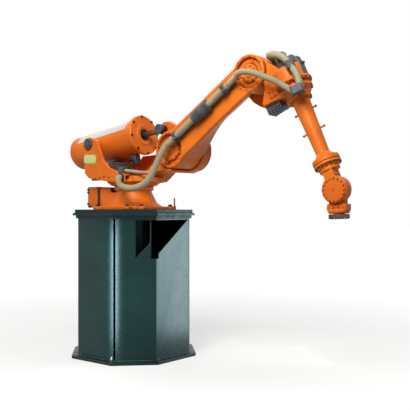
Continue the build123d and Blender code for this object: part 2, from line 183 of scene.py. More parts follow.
def hoop(profile, sides=64):
    """Ring turned round the z axis, from (radius, z) steps that go once round its section."""
    radius, z = profile[0]
    bpy.ops.mesh.primitive_circle_add(vertices=sides, radius=radius, location=(0, 0, 0))
    obj = bpy.context.object
    only(obj)
    bpy.ops.object.mode_set(mode="EDIT")
    bpy.ops.mesh.select_mode(type="EDGE")
    bpy.ops.mesh.select_all(action="SELECT")
    bpy.ops.transform.translate(value=(0, 0, z))
    for next_radius, next_z in [*profile[1:], profile[0]]:
        bpy.ops.mesh.extrude_region_move(TRANSFORM_OT_translate={"value": (0, 0, next_z - z)})
        scale = next_radius / radius
        bpy.ops.transform.resize(value=(scale, scale, 1))
        radius, z = next_radius, next_z
    bpy.ops.mesh.select_all(action="SELECT")
    bpy.ops.mesh.remove_doubles(threshold=0.00002)
    bpy.ops.mesh.normals_make_consistent(inside=False)
    bpy.ops.object.mode_set(mode="OBJECT")
    return obj


def hexagon_head(radius, height):
    """Hexagon bolt head on a round washer."""
    obj = turned([(1.35 * radius, 0), (1.35 * radius, 0.18 * height)], 16)
    bpy.ops.mesh.primitive_cylinder_add(vertices=6, radius=radius, depth=height,
                                        location=(0, 0, 0.68 * height))
    head = bpy.context.object
    bpy.ops.object.transform_apply(location=True)
    bpy.ops.object.mode_set(mode="EDIT")
    pick_faces(lambda middle, normal: normal.z > 0.9)
    bpy.ops.mesh.inset(thickness=0.14 * radius)
    bpy.ops.transform.translate(value=(0, 0, 0.12 * height))
    bpy.ops.object.mode_set(mode="OBJECT")
    only(obj, head)
    bpy.ops.object.join()
    return obj


def socket_head(radius, height):
    """Cap screw head with a hexagon socket."""
    bpy.ops.mesh.primitive_cylinder_add(vertices=18, radius=radius, depth=height,
                                        location=(0, 0, height / 2))
    obj = bpy.context.object
    only(obj)
    bpy.ops.object.transform_apply(location=True)
    bpy.ops.object.mode_set(mode="EDIT")
    pick_faces(lambda middle, normal: normal.z > 0.9)
    bpy.ops.mesh.inset(thickness=0.10 * radius)
    bpy.ops.transform.translate(value=(0, 0, 0.10 * height))
    bpy.ops.mesh.inset(thickness=0.36 * radius)
    bpy.ops.mesh.extrude_region_move(TRANSFORM_OT_translate={"value": (0, 0, -0.55 * height)})
    bpy.ops.object.mode_set(mode="OBJECT")
    return obj


def raw_block(size, middle_z):
    """Start of a piece with square corners, its middle on the z axis."""
    bpy.ops.mesh.primitive_cube_add(size=1, location=(0, 0, middle_z), scale=size)
    obj = bpy.context.object
    only(obj)
    bpy.ops.object.transform_apply(location=True, scale=True)
    return obj


def rounded_block(size, corner, segments=3):
    """Block with its seat in the middle at z = 0 and all its edges rounded."""
    obj = raw_block(size, size[2] / 2)
    bpy.ops.object.mode_set(mode="EDIT")
    bpy.ops.mesh.select_all(action="SELECT")
    bpy.ops.mesh.bevel(offset=corner, segments=segments, affect="EDGES")
    bpy.ops.object.mode_set(mode="OBJECT")
    return obj


def outline_plate(points, depth):
    """Plate from an outline of (x, y) points, from z = 0 up."""
    bpy.ops.mesh.primitive_circle_add(vertices=len(points), radius=1, fill_type="NGON", location=(0, 0, 0))
    obj = bpy.context.object
    only(obj)
    for vertex, point in zip(obj.data.vertices, points):
        vertex.co = (*point, 0)
    bpy.ops.object.mode_set(mode="EDIT")
    bpy.ops.mesh.select_all(action="SELECT")
    bpy.ops.mesh.extrude_region_move(TRANSFORM_OT_translate={"value": (0, 0, depth)})
    bpy.ops.mesh.select_all(action="SELECT")
    bpy.ops.mesh.normals_make_consistent(inside=False)
    bpy.ops.object.mode_set(mode="OBJECT")
    return obj


def cut_away(obj, cutter):
    """Cuts a shape out of a piece, and removes the shape."""
    hole = obj.modifiers.new("hole", "BOOLEAN")
    hole.operation, hole.solver, hole.object = "DIFFERENCE", "EXACT", cutter
    only(obj)
    bpy.ops.object.modifier_apply(modifier="hole")
    bpy.data.objects.remove(cutter)


def upright_edge(a, b):
    return abs(a.x - b.x) < 0.001 and abs(a.y - b.y) < 0.001


# Materials
def linear(red, green, blue):
    """A colour as the eye sees it, from 0 to 255, in the shader's linear values."""
    values = [channel / 255 for channel in (red, green, blue)]
    return [v / 12.92 if v <= 0.04045 else ((v + 0.055) / 1.055) ** 2.4 for v in values] + [1.0]


class Finish:
    """A material whose nodes are added one at a time."""

    def __init__(self, name, roughness=0.5, metallic=0.0):
        self.material = bpy.data.materials.new(name)
        self.material.use_nodes = True
        self.tree = self.material.node_tree
        self.shader = self.tree.nodes["Principled BSDF"]
        self.shader.inputs["Roughness"].default_value = roughness
        self.shader.inputs["Metallic"].default_value = metallic
        self.place = self.add("ShaderNodeTexCoord").outputs["Object"]

    def add(self, kind, **sockets):
        node = self.tree.nodes.new(kind)
        for socket, value in sockets.items():
            self.feed(node.inputs[socket.replace("_", " ")], value)
        return node

    def feed(self, socket, value):
        if isinstance(value, bpy.types.NodeSocket):
            self.tree.links.new(value, socket)
        else:
            socket.default_value = value

    def noise(self, scale, detail=4.0, stretch=None):
        place = self.place
        if stretch:
            place = self.add("ShaderNodeMapping", Vector=self.place, Scale=stretch).outputs["Vector"]
        return self.add("ShaderNodeTexNoise", Vector=place, Scale=scale, Detail=detail).outputs["Fac"]

    def ramp(self, value, low, high, start=0.0, end=1.0):
        """A value brought from one range to another, held at its ends."""
        node = self.add("ShaderNodeMapRange", Value=value)
        for socket, number in zip(("From Min", "From Max", "To Min", "To Max"), (low, high, start, end)):
            node.inputs[socket].default_value = number
        return node.outputs["Result"]

    def math(self, operation, first, second):
        node = self.add("ShaderNodeMath")
        node.operation = operation
        self.feed(node.inputs[0], first)
        self.feed(node.inputs[1], second)
        return node.outputs["Value"]

    def mix(self, amount, first, second):
        node = self.add("ShaderNodeMix")
        node.data_type = "RGBA"
        self.feed(node.inputs["Factor"], amount)
        self.feed(node.inputs[6], first)
        self.feed(node.inputs[7], second)
        return node.outputs[2]

    def crevices(self, reach):
        """1 in corners and gaps, 0 on open faces."""
        node = self.add("ShaderNodeAmbientOcclusion", Distance=reach)
        node.samples = 8
        return self.ramp(node.outputs["AO"], 0.35, 0.85, 1.0, 0.0)

    def edges(self, radius):
        """1 along sharp edges, 0 on flat faces."""
        bevel = self.add("ShaderNodeBevel", Radius=radius)
        bevel.samples = 6
        flat = self.add("ShaderNodeNewGeometry").outputs["Normal"]
        node = self.add("ShaderNodeVectorMath")
        node.operation = "DOT_PRODUCT"
        self.feed(node.inputs[0], bevel.outputs["Normal"])
        self.feed(node.inputs[1], flat)
        return self.ramp(node.outputs["Value"], 0.86, 0.98, 1.0, 0.0)

    def bump(self, height, distance, strength=1.0, soft_edges=0.0):
        node = self.add("ShaderNodeBump", Height=height, Distance=distance, Strength=strength)
        if soft_edges:
            bevel = self.add("ShaderNodeBevel", Radius=soft_edges)
            bevel.samples = 6
            self.feed(node.inputs["Normal"], bevel.outputs["Normal"])
        self.feed(self.shader.inputs["Normal"], node.outputs["Normal"])


def worn_paint(name, colour, deep, chipped, roughness, wear=0.5, soft_edges=0.003, crevice_shade_colour=(40, 30, 24),
               uneven=1.0):
    """Sprayed paint with slow changes of tone, painted shade in the corners and gaps, and chips along the
    edges.
    """
    paint = Finish(name, roughness)
    tone = paint.mix(paint.ramp(paint.noise(2.3), 0.35, 0.65), linear(*colour), linear(*deep))
    streaks = paint.ramp(paint.noise(5.0, 6.0, (3.0, 3.0, 0.5)), 0.52, 0.74, 0.0, 0.25)
    tone = paint.mix(streaks, tone, linear(*deep))
    # Painted shade: corners and gaps found by occlusion turn towards a dark colour, broken up by noise, and
    # are a little rougher
    crevice_shade = paint.math("MULTIPLY", paint.crevices(0.05), paint.ramp(paint.noise(9.0), 0.3, 0.7, 0.35, 0.9))
    tone = paint.mix(paint.math("MULTIPLY", crevice_shade, 0.6), tone, linear(*crevice_shade_colour))
    rubbed = paint.math("MULTIPLY", paint.edges(0.006), paint.ramp(paint.noise(34.0, 8.0), 0.56, 0.64))
    specks = paint.ramp(paint.noise(95.0, 3.0), 0.735, 0.76, 0.0, 0.8)
    chips = paint.math("MINIMUM", paint.math("ADD", paint.math("MULTIPLY", rubbed, wear), specks), 1.0)
    paint.feed(paint.shader.inputs["Base Color"], paint.mix(chips, tone, linear(*chipped)))
    low, high = roughness - 0.07 * uneven, roughness + 0.1 * uneven
    rough = paint.ramp(paint.noise(14.0, 5.0), 0.3, 0.7, low, high)
    rough = paint.math("ADD", rough, paint.math("MULTIPLY", crevice_shade, 0.25))
    paint.feed(paint.shader.inputs["Roughness"], rough)
    skin = paint.math("SUBTRACT", paint.noise(160.0, 2.0), paint.math("MULTIPLY", chips, 0.8))
    paint.bump(skin, 0.0008, 0.35, soft_edges)
    return paint.material


def bare_metal(name, colour, roughness, spots=(60, 52, 45), amount=0.3):
    """Metal with fine scratches, uneven shine and a little tarnish."""
    metal = Finish(name, roughness, 0.9)
    tarnish = metal.ramp(metal.noise(28.0, 6.0), 0.5, 0.72, 0.0, amount)
    tarnish = metal.math("MAXIMUM", tarnish, metal.math("MULTIPLY", metal.crevices(0.01), 0.5))
    metal.feed(metal.shader.inputs["Base Color"], metal.mix(tarnish, linear(*colour), linear(*spots)))
    rough = metal.ramp(metal.noise(60.0, 6.0, (1, 1, 6)), 0.3, 0.7, roughness - 0.08, roughness + 0.14)
    metal.feed(metal.shader.inputs["Roughness"], rough)
    metal.bump(metal.noise(220.0, 3.0), 0.0003, 0.3, 0.0015)
    return metal.material


def moulded(name, colour, dust_and_shade_colour, roughness, grain=180.0, soft_edges=0.003):
    """Rubber, plastic or a dull black casting, with its second colour in its corners: dust where that colour
    is paler, painted shade where it is darker.
    """
    skin = Finish(name, roughness)
    dust_and_corner_shade = skin.math("MULTIPLY", skin.crevices(0.02), skin.ramp(skin.noise(20.0), 0.35, 0.65, 0.2, 0.8))
    shade = skin.mix(skin.ramp(skin.noise(7.0, 6.0), 0.35, 0.7, 0.0, 0.45), linear(*colour), linear(*dust_and_shade_colour))
    # Corners take the second colour: real dust on the dark parts, painted shade in the grooves of the hose
    shade = skin.mix(skin.math("MULTIPLY", dust_and_corner_shade, 0.5), shade, linear(*dust_and_shade_colour))
    skin.feed(skin.shader.inputs["Base Color"], shade)
    rough = skin.ramp(skin.noise(16.0), 0.3, 0.7, roughness - 0.08, roughness + 0.1)
    skin.feed(skin.shader.inputs["Roughness"], rough)
    skin.bump(skin.noise(grain, 4.0), 0.0006, 0.45, soft_edges)
    return skin.material


def sheen(material, level, tint):
    """Sets how strongly a paint mirrors, and the tint of what it mirrors."""
    shader = material.node_tree.nodes["Principled BSDF"]
    shader.inputs["Specular IOR Level"].default_value = level
    shader.inputs["Specular Tint"].default_value = (*tint, 1)


orange = worn_paint("robot_orange_paint", (222, 114, 26), (200, 92, 20), (112, 74, 52), 0.44,
                    crevice_shade_colour=(46, 24, 14))
sheen(orange, 0.35, (1, 0.8, 0.6))
green = worn_paint("column_green_paint", (8, 32, 27), (4, 22, 18), (84, 112, 108), 0.26, wear=0.7,
                   soft_edges=0.004, crevice_shade_colour=(6, 12, 11), uneven=0.35)
sheen(green, 0.34, (0.5, 0.88, 1))
dark_green = worn_paint("plate_green_paint", (16, 28, 27), (8, 16, 15), (70, 96, 100), 0.36, wear=0.6,
                        crevice_shade_colour=(4, 6, 6))
sheen(dark_green, 0.3, (0.5, 0.88, 1))
black_metal = moulded("motor_black", (52, 52, 56), (84, 84, 88), 0.45)
black_rubber = moulded("clamp_black", (46, 50, 54), (80, 82, 82), 0.6)
# The hose's second colour is darker than its first: in the grooves between its rings it is painted shade,
# elsewhere it makes the tone uneven
hose_skin = moulded("hose_beige", (150, 138, 108), (108, 98, 74), 0.6, grain=90.0, soft_edges=0)
steel = bare_metal("machined_steel", (150, 148, 144), 0.38)
chrome = bare_metal("rod_steel", (120, 112, 106), 0.24, (70, 58, 50), 0.35)
bolt_black = bare_metal("black_bolts", (50, 44, 42), 0.42, (78, 58, 48), 0.4)
dark_flange = bare_metal("tool_flange_steel", (92, 74, 68), 0.45, (60, 44, 38), 0.4)
pale_yellow = worn_paint("bare_yellow_plate", (206, 204, 136), (176, 184, 110), (150, 140, 110), 0.5, 0.8)
white_band = worn_paint("bare_white_band", (196, 192, 184), (176, 168, 158), (150, 118, 92), 0.5, 0.8)

# The finish of each CAD node is orange, but for those named here
cad_finish = dict.fromkeys(frame["nodes"], orange)
other_finishes = (
    (green, ("column_front_shell", "column_rear_shell")),
    (dark_green, ("foot_plate", "column_rib_middle", "column_rib_side", "column_collar", "column_top_plate",
                  "mounting_plate")),
    (bolt_black, ("foot_bolts", "rod_eye")),
    (black_rubber, ("trunnion_cap_near", "trunnion_cap_far", "clamp_rail", "lower_hose_clamp",
                    "upper_hose_clamp", "hose_sleeve", "forearm_hose_clamps")),
    (black_metal, ("swivel_motor", "shoulder_motor", "balancer_valve_block", "elbow_motor", "wrist_motors")),
    (hose_skin, ("shoulder_hose", "arm_hose", "elbow_hose", "forearm_hose")),
    (steel, ("balancer_trunnions",)), (chrome, ("balancer_rod",)), (dark_flange, ("tool_flange",)),
)
for material, nodes in other_finishes:
    cad_finish.update(dict.fromkeys(nodes, material))
for node, obj in frame["nodes"].items():
    obj.data.materials.clear()
    obj.data.materials.append(cad_finish[node])


# Castings: the CAD shape with soft edges and fillets
def casting(node, name, body, voxel, rounding):
    """Cast piece with the outline of a CAD node, rounded all over as sand casting leaves it."""
    mesh = frame["nodes"][node].data.copy()
    obj = bpy.data.objects.new(name, mesh)
    bpy.context.scene.collection.objects.link(obj)
    only(obj)
    bpy.ops.object.mode_set(mode="EDIT")
    bpy.ops.mesh.select_all(action="SELECT")
    bpy.ops.mesh.remove_doubles(threshold=0.00005)
    bpy.ops.object.mode_set(mode="OBJECT")
    remesh = obj.modifiers.new("skin", "REMESH")
    remesh.mode = "VOXEL"
    remesh.voxel_size = voxel
    soften = obj.modifiers.new("soften", "SMOOTH")
    soften.factor = 0.5
    soften.iterations = rounding
    thin = obj.modifiers.new("thin", "DECIMATE")
    thin.ratio = 0.45
    for modifier in ("skin", "soften", "thin"):
        bpy.ops.object.modifier_apply(modifier=modifier)
    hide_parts(node)
    return finish(obj, name, body, cad_finish[node], smooth=50)


castings = [
    ("lower_arm", "lower_arm_casting", "lower_arm", 0.006, 5),
    ("elbow_housing", "elbow_casting", "upper_arm", 0.006, 4),
    ("swivel_frame", "swivel_casting", "swivel", 0.007, 4),
    ("base_casting", "base_plinth_casting", "stand", 0.006, 3),
    ("cradle_ear_near", "cradle_ear_casting_near", "swivel", 0.005, 4),
    ("cradle_ear_far", "cradle_ear_casting_far", "swivel", 0.005, 4),
    ("wrist_fork", "wrist_fork_casting", "wrist_roll", 0.004, 3),
    ("wrist_body", "wrist_body_casting", "wrist_bend", 0.004, 4),
    ("balancer_lug", "balancer_lug_casting", "lower_arm", 0.004, 4),
]
for node, name, body, voxel, rounding in castings:
    casting(node, name, body, voxel, rounding)


# Hoses
def route_points(route, name):
    """Points along the smooth line that has the route's points as its controls."""
    curve = bpy.data.curves.new(name, "CURVE")
    curve.dimensions = "3D"
    curve.resolution_u = 24
    spline = curve.splines.new("NURBS")
    spline.points.add(len(route) - 1)
    for point, place in zip(spline.points, route):
        point.co = (*place, 1)
    spline.order_u = 3
    spline.use_endpoint_u = True
    guide = bpy.data.objects.new(name, curve)
    bpy.context.scene.collection.objects.link(guide)
    bpy.context.view_layer.update()
    line = bpy.data.meshes.new_from_object(guide.evaluated_get(bpy.context.evaluated_depsgraph_get()))
    points = [v.co.copy() for v in line.vertices]
    bpy.data.objects.remove(guide)
    bpy.data.meshes.remove(line)
    return points


def even_points(points, step):
    """Points at even steps along a line, each with its direction."""
    lengths = [0.0]
    for before, after in zip(points, points[1:]):
        lengths.append(lengths[-1] + (after - before).length)
    count = max(2, round(lengths[-1] / step))
    made, k = [], 0
    for n in range(count + 1):
        at = lengths[-1] * n / count
        while k < len(points) - 2 and lengths[k + 1] < at:
            k += 1
        run = points[k + 1] - points[k]
        made.append((points[k] + run * ((at - lengths[k]) / run.length), run.normalized()))
    return made


def corrugated(route, name, radius, pitch=0.014, depth=0.0035, sides=18):
    """Conduit with rings along its length, closed at both ends."""
    stations = even_points(route_points(route, name + "_line"), pitch / 4)
    shape = bmesh.new()
    side = stations[0][1].orthogonal().normalized()
    rings = []
    for k, (point, forward) in enumerate(stations):
        side = (side - forward * side.dot(forward)).normalized()
        across = forward.cross(side)
        r = radius - depth * (1, 0.35, 0, 0.35)[k % 4]
        turns = [2 * pi * n / sides for n in range(sides)]
        rings.append([shape.verts.new(point + (side * cos(t) + across * sin(t)) * r) for t in turns])
    for low, high in zip(rings, rings[1:]):
        for n in range(sides):
            shape.faces.new((low[n], low[n - 1], high[n - 1], high[n]))
    shape.faces.new(rings[0])
    shape.faces.new(list(reversed(rings[-1])))
    bmesh.ops.recalc_face_normals(shape, faces=shape.faces)
    mesh = bpy.data.meshes.new(name)
    shape.to_mesh(mesh)
    shape.free()
    obj = bpy.data.objects.new(name, mesh)
    bpy.context.scene.collection.objects.link(obj)
    return obj


def world(place, *point):
    return tuple(place @ Vector(point))


def around_axis(x, r, degrees):
    """Point near the forearm, at a turn from straight up towards the near side."""
    return world(roll, x, -r * sin(radians(degrees)), r * cos(radians(degrees)))


hose_r, elbow_hose_r, root_hose_r, deck_hose_r = 0.034, 0.029, 0.033, 0.019
hose_y, hose_z = -0.174, 0.022
bulkhead_y = -0.292
shoulder_route = [(0.106, bulkhead_y, deck_z + 0.022), (0.106, -0.350, deck_z + 0.022),
                  (0.150, -0.348, deck_z - 0.075), (0.320, -0.330, deck_z - 0.098),
                  (0.480, -0.310, deck_z - 0.045), (0.560, -0.270, deck_z + 0.120),
                  (0.610, -0.210, deck_z + 0.300),
                  world(arm, 0.060, hose_y, hose_z), world(arm, 0.150, hose_y, hose_z)]
elbow_route = [world(arm, 0.940, hose_y, hose_z), world(arm, 1.030, hose_y, hose_z),
               (1.520, -0.225, 2.722), (1.660, -0.240, 2.705), (1.790, -0.235, 2.650),
               (1.940, -0.215, 2.580), around_axis(0.440, 0.212, 71)]
root_route = [around_axis(0.440, 0.212, 54), around_axis(0.380, 0.218, 52), around_axis(0.290, 0.222, 50),
              around_axis(0.197, 0.207, 55), world(forearm, 0.100, -0.172, 0.402),
              world(forearm, 0.042, -0.165, 0.347), world(forearm, -0.004, -0.140, 0.280),
              world(forearm, -0.030, -0.090, 0.240), world(forearm, -0.012, -0.025, 0.238),
              world(forearm, 0.040, 0.010, 0.245), world(forearm, 0.085, 0.020, 0.205)]
arm_route = [world(arm, x, hose_y, hose_z) for x in (0.150, 0.400, 0.700, 0.940)]
deck_route = [(0.085, -0.250, 1.895), (0.150, -0.235, 1.890), (0.240, -0.215, 1.878),
              (0.330, -0.190, 1.866), (0.420, -0.150, 1.870)]

shoulder_tube = corrugated(shoulder_route, "shoulder_hose_tube", hose_r)
shoulder_tube.data.materials.append(hose_skin)
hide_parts("shoulder_hose")
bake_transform(shoulder_tube)

elbow_tube = corrugated(elbow_route, "elbow_hose_tube", elbow_hose_r)
elbow_tube.data.materials.append(hose_skin)
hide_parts("elbow_hose")
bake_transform(elbow_tube)

root_tube = corrugated(root_route, "forearm_hose_tube", root_hose_r)
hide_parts("forearm_hose")
finish(root_tube, "forearm_hose_tube", "upper_arm", hose_skin, smooth=80)

arm_tube = corrugated(arm_route, "arm_hose_tube", hose_r)
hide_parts("arm_hose")
finish(arm_tube, "arm_hose_tube", "lower_arm", hose_skin, smooth=80)

deck_tube = corrugated(deck_route, "deck_hose_tube", deck_hose_r)
finish(deck_tube, "deck_hose_tube", "swivel", hose_skin, smooth=80)

# Bolts and small parts, each model made once and copied to its places
big_hexagon = hexagon_head(0.018, 0.016)
small_hexagon = hexagon_head(0.009, 0.008)
cap_screw = socket_head(0.011, 0.012)
small_screw = socket_head(0.0065, 0.007)


def bolts(model, name, body, material, face, places):
    return copies(model, name, body, material, [face @ place for place in places])


def at_side(point, y):
    """Face on the near or far side at an (x, z) point, with its z axis pointing outwards."""
    return Matrix.Translation((point[0], y, point[1])) @ (along_near if y < 0 else along_far)


# Stand
half, corner_cut, fold_cut, lip_cut, sheet = 0.545, 0.288, 0.0145, 0.124, 0.012
column_foot, column_head, seam_gap = 0.030, 1.440, 0.022
opening_low, opening_high, opening_peak = 1.020, 1.395, 1.175
bolt_wide, bolt_narrow = 0.320, 0.215
shade_strip_out, shade_strip_turn = 0.562, -2.7
side_half, column_length = half - corner_cut, column_head - column_foot
seam_turn = Matrix.Rotation(atan2(-half, side_half), 4, "Z")
# The column is one bent wall, cut into two shells by a slot through both seams
column = raw_block((2 * half, 2 * half, column_length), (column_foot + column_head) / 2)
bpy.ops.object.mode_set(mode="EDIT")
pick_edges(upright_edge)
bpy.ops.mesh.bevel(offset=corner_cut, segments=1, affect="EDGES")
pick_edges(lambda a, b: upright_edge(a, b) and not (a.x * a.y < 0 and abs(a.x) < abs(a.y)))
bpy.ops.mesh.bevel(offset=fold_cut, segments=4, affect="EDGES")
pick_edges(lambda a, b: upright_edge(a, b) and abs(abs(a.x) - side_half) < 0.001 and a.x * a.y < 0)
bpy.ops.mesh.bevel(offset=lip_cut, segments=14, affect="EDGES")
pick_faces(lambda middle, normal: abs(normal.z) > 0.9)
bpy.ops.mesh.delete(type="FACE")
bpy.ops.object.mode_set(mode="OBJECT")
wall = column.modifiers.new("wall", "SOLIDIFY")
wall.thickness = sheet
wall.use_even_offset = True
bpy.ops.object.modifier_apply(modifier="wall")
slot = raw_block((1.5, seam_gap, 2.0), 0.8)
slot.data.transform(seam_turn)
cut_away(column, slot)
# Opening with a slanting edge, through the wall at 45 degrees and the wall beside it
notch = outline_plate([(0.004, opening_low), (0.150, opening_peak), (0.150, opening_low),
                       (0.234, opening_low), (0.234, opening_high), (0.004, opening_high)], 0.14)
notch.data.transform(turn(45) @ along_near @ move(0, 0, 0.50))
cut_away(column, notch)
side_hole = outline_plate([(-0.277, opening_low), (0.227, opening_high), (-0.277, opening_high)], 0.12)
side_hole.data.transform(turn(90) @ along_near @ move(0, 0, half - 0.06))
cut_away(column, side_hole)
finish(column, "column_bent_shells", "stand", green)
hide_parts("column_front_shell", "column_rear_shell")
# Dark strip inside the rear seam, a sheet that stands for shade: it closes the view through both seam slots
# so that the slot shows dark
seam_shade_strip = rounded_block((0.006, 0.080, column_length), 0.001, 1)
seam_shade_strip_place = turn(180) @ seam_turn @ move(shade_strip_out, 0, column_foot) @ turn(shade_strip_turn)
finish(seam_shade_strip, "rear_seam_shade_strip", "stand", dark_green, seam_shade_strip_place)
foot_places = [move(sx * x, sy * y, ground + 0.032)
               for x, y in ((bolt_wide, bolt_narrow), (bolt_narrow, bolt_wide))
               for sx in (-1, 1) for sy in (-1, 1)]
foot_heads = copies(big_hexagon, "robot_foot_bolts", "stand", bolt_black, foot_places)
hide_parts("foot_bolts")
anchor_places = [turn(22.5 + 45 * k) @ move(half + 0.0275, 0, column_foot) for k in range(8)]
copies(big_hexagon, "anchor_nuts", "stand", steel, anchor_places)
stud = turned([(0.010, 0), (0.010, 0.036), (0.008, 0.040)], 20)
copies(stud, "anchor_studs", "stand", steel, anchor_places)


def weld_bead(name, z):
    """Fillet weld all round the column, where it stands on a plate."""
    obj = raw_block((2 * half, 2 * half, 0.010), z + 0.005)
    bpy.ops.object.mode_set(mode="EDIT")
    pick_edges(upright_edge)
    bpy.ops.mesh.bevel(offset=corner_cut, segments=1, affect="EDGES")
    pick_faces(lambda middle, normal: normal.z < -0.9)
    bpy.ops.transform.resize(value=(1.016, 1.016, 1))
    bpy.ops.mesh.select_all(action="SELECT")
    bpy.ops.mesh.subdivide(number_cuts=12)
    bpy.ops.object.mode_set(mode="OBJECT")
    return finish(obj, name, "stand", green)


weld_bead("foot_weld", column_foot)
box_near = at_side((-0.530, ground + 0.13), -0.160)
bolts(cap_screw, "connector_box_screws", "stand", bolt_black, box_near,
      [move(0, 0.085), move(0, 0.055), move(0, -0.07), move(0.03, -0.095)])
# Dark strip beside the connector box, standing for the shade in the gap there
gap_shade_strip = rounded_block((0.030, 0.186, 0.007), 0.003)
finish(gap_shade_strip, "connector_gap_shade_strip", "stand", bolt_black, at_side((-0.372, ground + 0.128), -0.1515))
rear_face = move(-0.550, 0, ground + 0.14) @ along_back
panel = rounded_block((0.170, 0.260, 0.008), 0.003)
finish(panel, "connector_panel", "stand", orange, rear_face @ move(0, 0, -0.0035))
socket = turned([(0.034, 0), (0.034, 0.004), (0.027, 0.006), (0.027, 0.012), (0.022, 0.012),
                 (0.020, 0.006)], 32)
bolts(socket, "cable_sockets", "stand", black_metal, rear_face @ move(0, 0, -0.002),
      [move(0.02, -0.07), move(0.02, 0.0), move(0.02, 0.07)])
bolts(small_screw, "connector_panel_screws", "stand", bolt_black, rear_face @ move(0, 0, 0.001),
      [move(x, y) for x in (-0.073, 0.073) for y in (-0.118, 0, 0.118)])

# Swivel
trunnion_near, trunnion_far = at_side(trunnion, -0.297), at_side(trunnion, 0.297)
for side, face in (("near", trunnion_near), ("far", trunnion_far)):
    bolts(small_screw, "trunnion_cap_screws_" + side, "swivel", bolt_black, face, ring_of(6, 0.044, 30))
    hub = turned([(0.026, 0), (0.026, 0.004), (0.020, 0.007), (0.012, 0.007), (0.010, 0.004)], 40)
    finish(hub, "trunnion_cap_hub_" + side, "swivel", black_rubber, face @ move(0, 0, -0.0005))
ear_plate = rounded_block((0.190, 0.092, 0.0025), 0.001)
plate_place = at_side((-0.378, 2.030), -0.275) @ turn(-3)
finish(ear_plate, "blank_ear_plate", "swivel", pale_yellow, plate_place)
bolts(small_screw, "ear_plate_rivets", "swivel", steel, plate_place @ move(0, 0, -0.002),
      [move(x, y) for x in (-0.085, 0.085) for y in (-0.037, 0.037)])
bolts(cap_screw, "ear_foot_screws_near", "swivel", orange, at_side((-0.16, 1.855), -0.275),
      [move(x, -0.010 - 0.10 * abs(x)) for x in (-0.14, -0.07, 0.0, 0.07)])
bolts(cap_screw, "ear_foot_screws_far", "swivel", orange, at_side((-0.16, 1.855), 0.275),
      [move(x, -0.010 - 0.10 * abs(x)) for x in (-0.07, 0.0, 0.07, 0.14)])
nut = hoop([(0.034, 0), (0.044, 0), (0.046, 0.004), (0.046, 0.018), (0.042, 0.022), (0.034, 0.022)], 6)
socket_block = rounded_block((0.066, 0.070, 0.066), 0.010)
finish(socket_block, "deck_hose_socket", "swivel", black_metal, move(0.085, -0.253, deck_z + 0.0635))
bulkhead_face = Matrix.Translation((0.106, bulkhead_y, deck_z + 0.022)) @ along_near
finish(nut, "shoulder_hose_nut", "swivel", bolt_black, bulkhead_face)


def servo(side, length, cap):
    """Servo motor with its flange at z = 0: ribbed body, end cap and two plugs."""
    body = rounded_block((side, side, length), 0.10 * side, 2)
    parts = [body]
    for k in range(5):
        for side_turn in (0, 90, 180, 270):
            rib = rounded_block((0.60 * side, 0.012, 0.006), 0.002, 1)
            rib.data.transform(turn(side_turn) @ move(0, 0, length * (0.2 + 0.15 * k)) @ along_far
                               @ move(0, 0, side / 2 - 0.004))
            parts.append(rib)
    flange = rounded_block((1.10 * side, 1.10 * side, 0.012), 0.005, 2)
    end = rounded_block((0.84 * side, 0.84 * side, cap + 0.01), 0.10 * side, 2)
    end.data.transform(move(0, 0, length - 0.01))
    parts += [flange, end]
    for x in (-0.22 * side, 0.22 * side):
        plug = turned([(0.017, 0), (0.017, 0.010), (0.013, 0.012), (0.013, 0.022), (0.010, 0.025)], 20)
        plug.data.transform(move(x, 0.40 * side, length - 0.018) @ along_far)
        parts.append(plug)
    only(*parts)
    bpy.ops.object.join()
    return bpy.context.object


motor = servo(0.196, 0.128, 0.030)
finish(motor, "swivel_servo", "swivel", black_metal, move(-0.235, 0, deck_z + 0.047))
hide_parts("swivel_motor")
# Dark plate on the far side between the ears, standing for the shade behind the balancer where the backdrop
# would show through
gap_shade_plate = rounded_block((0.210, 0.012, 0.150), 0.004)
finish(gap_shade_plate, "ear_gap_shade_plate", "swivel", black_metal, move(-0.505, 0.199, 1.945))
motor = servo(0.156, 0.088, 0.026)
gearbox = turned([(0.110, -0.036), (0.110, 0.002), (0.104, 0.008)], 64)
only(motor, gearbox)
bpy.ops.object.join()
finish(motor, "shoulder_servo", "swivel", black_metal, at_side(shoulder, 0.336))
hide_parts("shoulder_motor")
bolts(cap_screw, "shoulder_drum_screws", "swivel", bolt_black, at_side(shoulder, 0.300), ring_of(16, 0.175))

# Balancer
flange_face = balancer @ move(0.558) @ along_x
bolts(cap_screw, "balancer_flange_screws", "balancer", bolt_black, flange_face, ring_of(8, 0.193, 5))
gland = hoop([(0.034, 0), (0.060, 0), (0.060, 0.008), (0.056, 0.011), (0.040, 0.011), (0.034, 0.007)])
finish(gland, "balancer_gland", "balancer", bolt_black, flange_face @ move(0, 0, -0.0125))
bolts(small_screw, "gland_screws", "balancer", bolt_black, flange_face @ move(0, 0, -0.003),
      ring_of(6, 0.049, 30))
ledge = hoop([(0.072, 0), (0.112, 0), (0.108, 0.007), (0.100, 0.008), (0.090, 0.004), (0.076, 0.006)])
finish(ledge, "balancer_flange_ledge", "balancer", orange, flange_face @ move(0, 0, -0.0005))
valve = rounded_block((0.092, 0.080, 0.112), 0.012)
finish(valve, "balancer_valve_manifold", "balancer", black_metal, balancer @ move(0.385, 0, -0.284))
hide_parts("balancer_valve_block")
port = turned([(0.022, 0), (0.022, 0.006), (0.017, 0.008), (0.017, 0.018), (0.013, 0.021)], 6)
bolts(port, "manifold_plugs", "balancer", bolt_black, balancer @ move(0.385, -0.0395, -0.235) @ along_near,
      [move(-0.020, 0.012), move(0.020, -0.018)])
filler = turned([(0.030, 0), (0.030, 0.010), (0.018, 0.012), (0.018, 0.026), (0.014, 0.030)], 6)
finish(filler, "gas_filler_plug", "balancer", steel, balancer @ move(-0.466) @ along_back)
